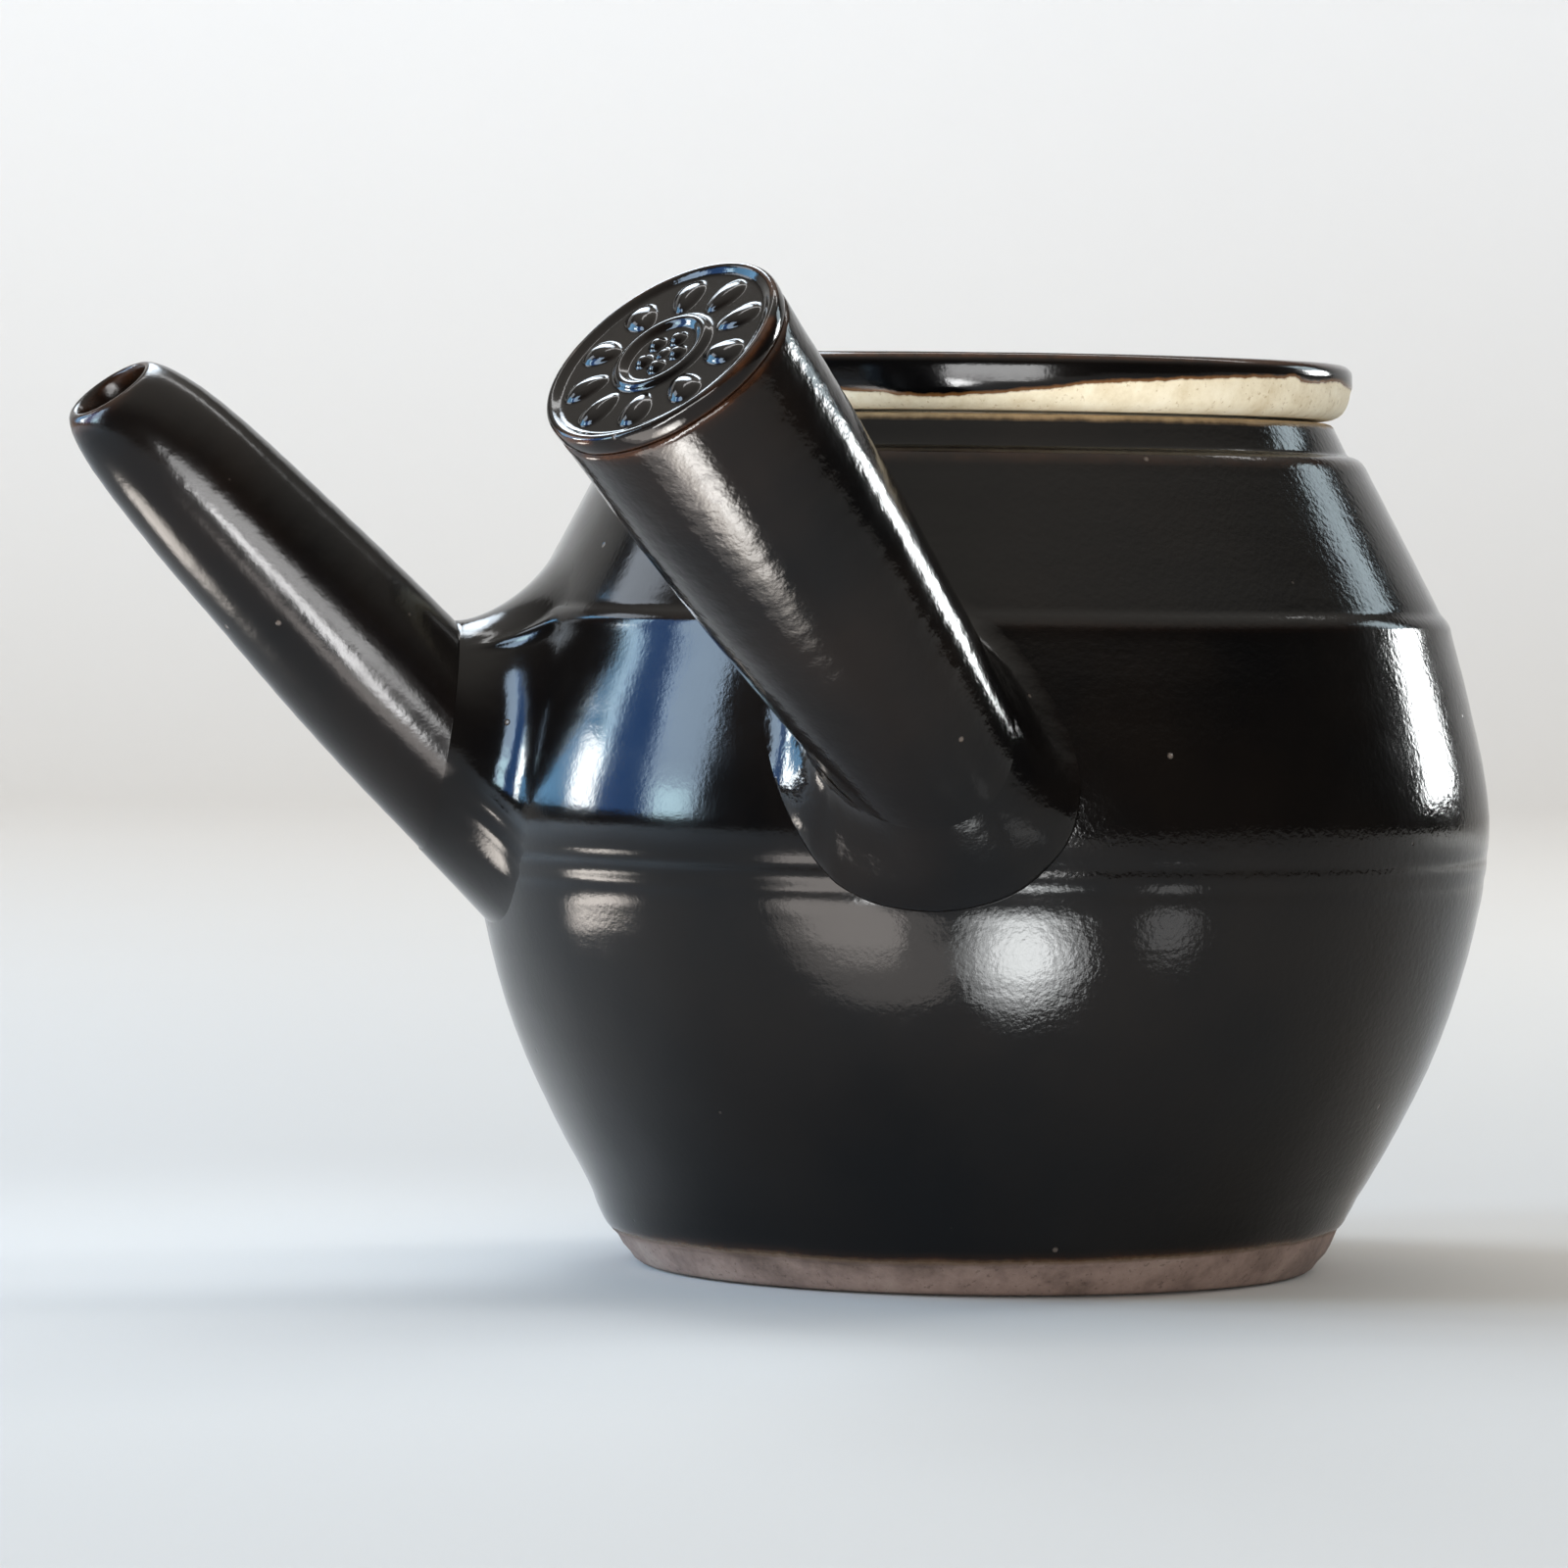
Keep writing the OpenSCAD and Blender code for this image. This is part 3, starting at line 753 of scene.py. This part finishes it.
def handleCollarSurface(u, w):
    p = handleCollar
    along, rise = loopThrough(p["landing"], u)
    z = handleRoot.z + rise
    angle = handle["rootAngle"] + math.degrees(along / rootRadius)
    out = wallNormal(angle, z)
    spot = wallSpot(angle, z)
    flat = spot - handleRoot
    turn = math.atan2(flat.dot(handleRight), flat.dot(handleLow))
    crisp = 1 - blendStep(-9.5, 3.0, rise)  # the lower edge is crisp, the upper one runs out smoothly
    t = p["crease"][0] + p["crease"][1] * math.cos(turn) + p["crease"][2] * math.sin(turn)
    seen = blendStep(0.05, 0.8, -math.sin(turn))  # the crease shows only on the spout's side
    crease = handlePoint(turn, t, handleRadius(t) + 0.23 * seen - 0.03)
    land = spot + out * (p["rim"] * crisp - 0.004)
    if w <= p["shown"]:
        toward = crease - land
        skim = (toward - out * toward.dot(out)).normalized()
        reach = toward.length
        end = (skim * (1 - crisp) + (toward.normalized() + out * 0.35).normalized() * crisp).normalized()
        radial = (crease - handlePoint(turn, t, 0)).normalized()
        start = (-handleAxis + radial * (0.02 + 0.1 * seen)).normalized()
        landPull = reach * (0.42 - 0.1 * crisp)
        return bezier(crease, crease + start * reach * 0.36, land + end * landPull, land, w / p["shown"])
    away = spot - crease
    edge = spot - out * 0.6 - away.normalized() * p["overhang"] * crisp
    if w <= p["breaks"][0]:
        k = (w - p["shown"]) / (p["breaks"][0] - p["shown"])
        over = (away - out * away.dot(out)).normalized()
        return land.lerp(edge, k) + over * p["overhang"] * crisp * math.sin(k * math.pi)
    under = spot.lerp(handleRoot, 0.35) - out * 2.0
    deep = handlePoint(turn, t - 4, handleRadius(t) - 2.5)
    inner = handlePoint(turn, t, handleRadius(t) - 1.2)
    return alongChain([edge, under, deep, inner, crease], p["breaks"], w)


def makeHandleCollar():
    p = handleCollar
    piece = ringOf("handleRootPad", handleCollarSurface, p["around"], p["along"])
    glazeAllOver(piece, lambda q: 0)
    finishPiece(piece, "handle_collar", "pot_body", handleGlaze, 50)


makeHandleCollar()


# handle end: a disc pressed with a ring of petals, an inner ring and beads
endCap = {
    "turns": 128, "petals": 10, "petalAt": 9.3, "petalSize": (2.7, 1.85, 0.95), "petalSunk": 0.3, "petalTaper": 0.09,
    "beads": 5, "beadAt": 2.3, "beadSize": 0.95, "beadSunk": 0.15, "beadFlat": 0.8, "face": 61.45,
    # radius, distance along the handle
    "outline": [(0, 57.6), (9.8, 57.6), (10.1, 57.75), (10.1, 59.66), (13.5, 59.66), (13.9, 59.72), (14.12, 59.95),
                (14.22, 60.4), (14.24, 61.0), (14.18, 61.55), (14.02, 61.86), (13.75, 61.98), (13.4, 61.96),
                (13.05, 61.78), (12.75, 61.58), (12.4, 61.4), (6.2, 61.4), (5.95, 61.5), (5.7, 61.85), (5.35, 62.05),
                (4.95, 62.0), (4.6, 61.7), (4.35, 61.45), (4.1, 61.35), (0.9, 61.35), (0.7, 61.5), (0.4, 61.65),
                (0, 61.7)],
    "voxel": 0.18, "soften": 3, "wobble": (9, 0.2),
}


def copiesRound(one, count):
    # turned copies of a piece drawn off the Z axis, joined into it
    ring = [one]
    for i in range(1, count):
        copy = one.copy()
        copy.data = one.data.copy()
        scene.collection.objects.link(copy)
        copy.rotation_euler.z = 2 * math.pi * i / count
        ring.append(copy)
    clearAll()
    for each in ring:
        each.select_set(True)
    bpy.context.view_layer.objects.active = one
    bpy.ops.object.transform_apply(location=True, rotation=True, scale=True)
    bpy.ops.object.join()
    return one


def makeEndCap():
    p = endCap
    piece = turnOutline("handleEndDisc", p["outline"], p["turns"])
    clearAll()
    bpy.ops.mesh.primitive_uv_sphere_add(segments=32, ring_count=16, radius=mm,
                                         location=(p["petalAt"] * mm, 0, (p["face"] - p["petalSunk"]) * mm))
    petal = bpy.context.object
    petal.scale = p["petalSize"]
    bpy.ops.object.transform_apply(location=True, rotation=True, scale=True)
    for v in petal.data.vertices:  # narrower towards the middle
        v.co.y *= 1 + p["petalTaper"] * (v.co.x / mm - p["petalAt"])
    cutBy(piece, copiesRound(petal, p["petals"]), "UNION")
    clearAll()
    bpy.ops.mesh.primitive_uv_sphere_add(segments=20, ring_count=12, radius=p["beadSize"] * mm,
                                         location=(p["beadAt"] * mm, 0, (p["face"] - p["beadSunk"]) * mm))
    bead = bpy.context.object
    bead.scale.z = p["beadFlat"]
    bpy.ops.object.transform_apply(location=True, rotation=True, scale=True)
    cutBy(piece, copiesRound(bead, p["beads"]), "UNION")
    pickOnly(piece)
    fine = piece.modifiers.new("fine", "REMESH")
    fine.mode = "VOXEL"
    fine.voxel_size = p["voxel"] * mm
    bpy.ops.object.modifier_apply(modifier="fine")
    soft = piece.modifiers.new("soft", "SMOOTH")
    soft.factor = 0.5
    soft.iterations = p["soften"]
    bpy.ops.object.modifier_apply(modifier="soft")
    layOnAxis(piece, handleRoot, handleAxis)
    handWobble(piece, *p["wobble"], lambda q: 0.5 if alongHandle(q) > 60.5 else 0)

    def thinMark(q):
        t = alongHandle(q)
        if (q - handleRoot - handleAxis * t).length < 13.4:
            return 0
        patch = blendStep(-0.1, 0.3, noise.noise(q * 0.22))
        return 0.25 * bell(t, 59.75, 0.3) + 0.6 * patch * bell(t, 61.75, 0.4)

    glazeAllOver(piece, thinMark)
    finishPiece(piece, "handle_end_cap", "pot_body", capGlaze, 60)


makeEndCap()


# lid: thick and loose, its edge bare below the glaze
lid = {
    "turns": 224,
    # radius, height: under the lid, round its flange and edge, and over the dish
    "outline": [(0, 97.6), (16, 97.6), (31.2, 97.6), (32.2, 97.45), (32.75, 96.9), (32.85, 95.8), (32.9, 92.7),
                (33.15, 92.05), (33.7, 91.75), (34.4, 91.7), (35.2, 91.75), (35.75, 92.05), (35.98, 92.7), (36.0, 94.0),
                (36.0, 98.6), (36.1, 99.4), (36.45, 99.9), (37.1, 100.05), (38.6, 100.05), (40.2, 100.05),
                (40.9, 100.18), (41.5, 100.45), (42.0, 100.85), (42.38, 101.35), (42.65, 101.95), (42.83, 102.6),
                (42.94, 103.3), (43.0, 104.0), (43.03, 104.7), (43.03, 105.3), (42.95, 105.75), (42.75, 106.1),
                (42.45, 106.36), (42.05, 106.5), (41.4, 106.56), (40.4, 106.56), (39.4, 106.52), (38.8, 106.4),
                (38.2, 106.1), (37.4, 105.55), (35.6, 104.4), (33.4, 103.1), (31.9, 102.3), (30.6, 101.92),
                (29.0, 101.8), (20.0, 101.8), (10.0, 101.8), (0, 101.8)],
    # height of the glaze's lower edge round the lid: angle in degrees, height
    "glazeEdge": [(-180, 102.3), (-160, 102.7), (-140, 102.4), (-121, 102.0), (-112, 101.45), (-107, 101.55),
                  (-91, 102.6), (-86.5, 103.15), (-75, 103.6), (-65, 104.05), (-58, 104.3), (-50, 104.4), (-47, 104.65),
                  (-45, 104.2), (-40, 104.0), (-32, 104.4), (-24, 103.9), (0, 103.4), (25, 103.9), (50, 103.2),
                  (80, 102.6), (105, 103.1), (130, 102.5), (155, 102.8), (180, 102.3)],
    "wobble": (18, 0.25),  # wave and depth
    "steamHole": {"sides": 32, "radius": 1.75, "depth": 14, "place": (0, 20, 100), "turn": (0, 0, 0.05)},
}
lidEdge = curveThrough(lid["glazeEdge"])


def aboveEdge(q):
    # height above the glaze's lower edge
    return q.z - lidEdge(math.degrees(math.atan2(q.y, q.x)))


def makeLid():
    p = lid
    piece = turnOutline("lidBody", p["outline"], p["turns"])
    drillHole(piece, p["steamHole"])
    for v in piece.data.vertices:  # the glaze stands a hair proud of the clay and swells at its lower edge
        q = v.co / mm
        if fromAxis(q) > 40 and q.z < 106:
            swell = 0.1 * blendStep(-0.15, 0.25, aboveEdge(q)) + 0.08 * bell(aboveEdge(q), 0.5, 0.5)
            gain = 1 + swell / fromAxis(q)
            v.co.x *= gain
            v.co.y *= gain
    handWobble(piece, *p["wobble"], lambda q: 0.5 * blendStep(100.6, 102, q.z) if fromAxis(q) > 37 else 0)

    def glazeMark(q):
        r = fromAxis(q)
        if r > 38 and q.z < 106.2:
            return aboveEdge(q)
        if q.z < 100.3 and r > 31.5:
            return -2.0  # the flange is bare
        return 2.0

    def thinMark(q):
        r = fromAxis(q)
        if r < 37.5:
            return 0
        outer = 0.75 * bell(q.z, 106.25, 0.28) * (r > 42)
        inner = 0.5 * bell(r, 38.6, 0.5) * (q.z > 106)
        return min(outer + inner, 1)

    markPoints(piece, "glazeLine", glazeMark)
    markPoints(piece, "thinGlaze", thinMark)
    finishPiece(piece, "lid", "lid_body", lidGlaze)


makeLid()


# lid knob: a low button in the dish
knob = {
    "turns": 96,
    "outline": [(0, 101.6), (6.6, 101.6), (6.5, 101.8), (6.1, 102.1), (5.75, 102.6), (5.6, 103.2), (5.65, 103.8),
                (6.0, 104.2), (6.7, 104.4), (8.0, 104.5), (8.9, 104.8), (9.35, 105.3), (9.5, 105.9), (9.4, 106.5),
                (9.05, 107.0), (8.45, 107.3), (7.6, 107.4), (6.0, 107.36), (4.0, 107.22), (2.0, 107.1), (0, 107.06)],
}


def makeKnob():
    piece = turnOutline("lidButton", knob["outline"], knob["turns"])
    glazeAllOver(piece, lambda q: 0.5 * bell(q.z, 107.15, 0.25) if fromAxis(q) > 8 else 0)
    finishPiece(piece, "lid_knob", "lid_body", lidGlaze)


makeKnob()


# strainer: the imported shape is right, it gets its clay
strainerTones = [(0.13, 0.092, 0.075), (0.21, 0.15, 0.12), (0.30, 0.23, 0.19)]


def makeClay(name, tones):
    material, tree, place = newMaterial(name)
    tone = noiseOf(tree, place, 240.0, 6.0, 0.7)
    fine = noiseOf(tree, place, 1600.0, 3.0)
    colour = rampOf(tree, tone, [(0.3, tones[0]), (0.55, tones[1]), (0.75, tones[2])])
    addSurface(tree, {"Base Color": colour, "Roughness": mapRange(tree, fine, 0.3, 0.7, 0.66, 0.85),
                      "Normal": bumpOf(tree, fine, 0.03)})
    return material


def dressStrainer():
    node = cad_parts["strainer"]
    clay = makeClay("strainerClay", strainerTones)
    for slot in node.material_slots:
        slot.material = clay
    print("strainer dressed")


dressStrainer()


# studio: pale sweep, soft dome, window-like panes and low cards
studio = {
    "floor": (0.58, 0.565, 0.545), "wallColour": (0.90, 0.89, 0.88), "width": 5.0, "front": -2.4, "back": 1.6,
    "drop": 0.0002, "cove": 0.35, "coveSteps": 12, "wall": 1.0,
    "dome": (0.05, 0.85),  # at the horizon and overhead
    "domeFrom": (0.35, 0.97), "domeColour": (1.02, 0.97, 0.89, 1),
    "wash": {"place": Vector((0.25, 0.75, 1.7)), "aim": Vector((0.25, 1.95, 0.45)), "size": (2.4, 0.5), "bright": 5.0},
}


def makeStage(p):
    clearAll()
    depth = p["back"] - p["front"]
    bpy.ops.mesh.primitive_plane_add(size=1, location=(0, (p["back"] + p["front"]) / 2, -p["drop"]))
    stage = bpy.context.object
    stage.name = "paleSweep"
    stage.scale = (p["width"], depth, 1)
    bpy.ops.object.transform_apply(location=True, rotation=True, scale=True)
    bpy.ops.object.mode_set(mode="EDIT")
    bpy.ops.mesh.select_all(action="DESELECT")
    bpy.ops.object.mode_set(mode="OBJECT")
    for v in stage.data.vertices:
        v.select = v.co.y > p["back"] - 0.01
    for e in stage.data.edges:
        e.select = all(stage.data.vertices[i].select for i in e.vertices)
    bpy.ops.object.mode_set(mode="EDIT")
    bpy.ops.mesh.select_mode(type="EDGE")
    for i in range(p["coveSteps"]):
        a, b = [math.radians(90 * k / p["coveSteps"]) for k in (i, i + 1)]
        move = (0, p["cove"] * (math.sin(b) - math.sin(a)), p["cove"] * (math.cos(a) - math.cos(b)))
        bpy.ops.mesh.extrude_region_move(TRANSFORM_OT_translate={"value": move})
    bpy.ops.mesh.extrude_region_move(TRANSFORM_OT_translate={"value": (0, 0, p["wall"])})
    bpy.ops.object.mode_set(mode="OBJECT")
    bpy.ops.object.shade_smooth()
    material, tree, place = newMaterial("paleFloor")
    tone = noiseOf(tree, place, 3.0, 2.0)
    colour = rampOf(tree, tone, [(0.3, [c * 0.985 for c in p["floor"]]), (0.7, p["floor"])])
    height = addNode(tree, "ShaderNodeSeparateXYZ", {"Vector": place}).outputs["Z"]
    colour = mixColours(tree, mapRange(tree, height, 0.0, 0.3), colour, (*p["wallColour"], 1))
    addSurface(tree, {"Base Color": colour, "Roughness": 0.9, "Specular IOR Level": 0.1})
    stage.data.materials.append(material)


def makeDome(p):
    world = bpy.data.worlds.new("softDome")
    scene.world = world
    world.use_nodes = True
    tree = world.node_tree
    tree.nodes.clear()
    way = addNode(tree, "ShaderNodeTexCoord").outputs["Generated"]
    height = addNode(tree, "ShaderNodeSeparateXYZ", {"Vector": way}).outputs["Z"]
    strength = addNode(tree, "ShaderNodeMapRange", {
        "Value": height, "From Min": p["domeFrom"][0], "From Max": p["domeFrom"][1],
        "To Min": p["dome"][0], "To Max": p["dome"][1]}, interpolation_type="SMOOTHSTEP").outputs["Result"]
    light = addNode(tree, "ShaderNodeBackground", {"Color": p["domeColour"], "Strength": strength})
    addNode(tree, "ShaderNodeOutputWorld", {"Surface": light.outputs["Background"]})


# flat directions from the pot: to the camera, and to its right
toCamera = Vector((-0.2079, -0.9781, 0))
toRight = Vector((0.9781, -0.2079, 0))
aimPoint = Vector((0, 0, 0.055))

# lamps by where the glaze shows them: degrees round from the camera (right is +) and up, size in degrees,
# brightness, colour, and for one its own distance
panes = [
    ("paneLeft", -106, 15.5, 25, 23, 3.4, (0.38, 0.9, 1.5)),
    ("paneLeftGlow", -98.5, 9.5, 8, 10, 25.0, (1.0, 1.0, 0.95)),
    ("paneBetween", -86, 17, 15, 26, 2.0, (0.16, 0.52, 1.45)),
    ("paneRight", -72, 19, 14, 30, 10.0, (0.64, 0.86, 1.12)),
    ("paneStreak", -94.5, 18, 4.5, 15, 8.0, (0.8, 1.0, 1.05)),
    ("paneHigh", -109, 32, 14, 10, 3.5, (0.85, 0.95, 1.08)),
    ("paneRightGlow", -72, 8, 9, 8, 10.0, (0.65, 1.0, 1.0)),
    ("stripLow", 126, 10.6, 13, 11.4, 20.0, (0.97, 1.0, 1.0)),
    ("stripHigh", 126, 24, 11, 15, 3.4, (0.8, 0.97, 1.05)),
    ("lensSide", 3, 3, 30, 14, 11.0, (1.0, 1.0, 1.0), 0.87),
]
# small cards near the pot, for the light that lies on the table; those that overlap lie at heights of their own:
# place, aim, size, turn, spread of its grid, size and brightness of its layers, colour
cards = [
    ("cardUnderHandle", (-50, -134, 1), None, (50, 74), 0, 80, [(1.0, 6.0), (0.75, 8.0)], (1.0, 0.93, 0.84)),
    ("cardHandleCore", (-46, -138, 2), None, (34, 58), 0, 80, [(1.0, 12.0), (0.62, 22.0)], (1.0, 0.98, 0.95)),
    ("cardFront", (-8, -92, 21), (-8, -57.5, 40.0), (35, 25), 0, 60, [(1.0, 6.0), (0.72, 8.0), (0.45, 8.0)],
     (0.97, 1.0, 1.0)),
    ("cardFrontLeft", (-118, -134, 3), None, (186, 76), 22, 180, [(1.0, 1.2), (0.72, 2.9)], (1.0, 0.92, 0.87)),
    ("cardUnderSpout", (-196, 24, 1), None, (62, 70), 0, 180, [(1.0, 4.6), (0.7, 5.4)], (1.0, 0.92, 0.84)),
    ("cardNearLens", (-129, -248, 4), None, (52, 170), -15, 180, [(1.0, 14.0), (0.7, 12.0)], (1.0, 1.0, 1.0)),
    ("cardBelowLens", (-188, -468, 5), None, (130, 310), -15, 180, [(1.0, 18.0), (0.75, 13.0)], (1.0, 1.0, 1.0)),
    ("cardRight", (30.5, -88.3, 27.2), (9.5, -57.9, 42.4), (17, 14), 0, 60, [(1.0, 0.7), (0.7, 0.9)], (1.0, 1.0, 1.0)),
    ("cardBack", (-80, 122, 255), (-62, -20, 84), (84, 170), 0, 80, [(1.0, 6.0), (0.7, 5.0)], (0.86, 0.97, 1.08)),
]


def facing(way):
    return way.to_track_quat("-Z", "Y").to_euler()


def fillLamp(name, width, height, bright, colour, shape="RECTANGLE", spread=180):
    lamp = bpy.context.object
    if spread < 180:  # a grid gathers the light, so it needs less
        half = math.radians(spread / 2)
        bright *= 1 - half / math.tan(half)
        lamp.data.spread = 2 * half
    lamp.name = name
    lamp.data.shape = shape
    lamp.data.size, lamp.data.size_y = width, height
    lamp.data.energy = 4 * width * height * bright
    lamp.data.color = colour
    lamp.visible_camera = False


def addPane(name, around, up, wide, tall, bright, colour, distance=1.25):
    a, e = math.radians(around), math.radians(up)
    way = (toCamera * math.cos(a) + toRight * math.sin(a)) * math.cos(e) + Vector((0, 0, math.sin(e)))
    width, height = [2 * distance * math.tan(math.radians(s / 2)) for s in (wide, tall)]
    clearAll()
    bpy.ops.object.light_add(type="AREA", location=aimPoint + way * distance, rotation=facing(-way))
    fillLamp(name, width, height, bright, colour)


def addCard(name, place, aim, size, turn, spread, layers, colour):
    # layers of smaller and smaller ovals give it a soft edge; with no aim it lies flat
    way = Vector(aim) - Vector(place) if aim else Vector((0, 0, 1))
    for i, (part, bright) in enumerate(layers):
        clearAll()
        bpy.ops.object.light_add(type="AREA", location=(Vector(place) + way.normalized() * 0.2 * i) * mm)
        fillLamp(name + str(i), size[0] * part * mm, size[1] * part * mm, bright, colour, "ELLIPSE", spread)
        bpy.context.object.rotation_euler = facing(way) if aim else (math.pi, 0, math.radians(turn))


def addWash(wash):
    # light on the wall behind
    clearAll()
    bpy.ops.object.light_add(type="AREA", location=wash["place"], rotation=facing(wash["aim"] - wash["place"]))
    fillLamp("wallWash", *wash["size"], wash["bright"], (1, 1, 1))


def lightStudio(p):
    makeStage(p)
    makeDome(p)
    for row in panes:
        addPane(*row)
    for row in cards:
        addCard(*row)
    addWash(p["wash"])
    scene.view_settings.view_transform = "Standard"
    print("studio lit")


lightStudio(studio)
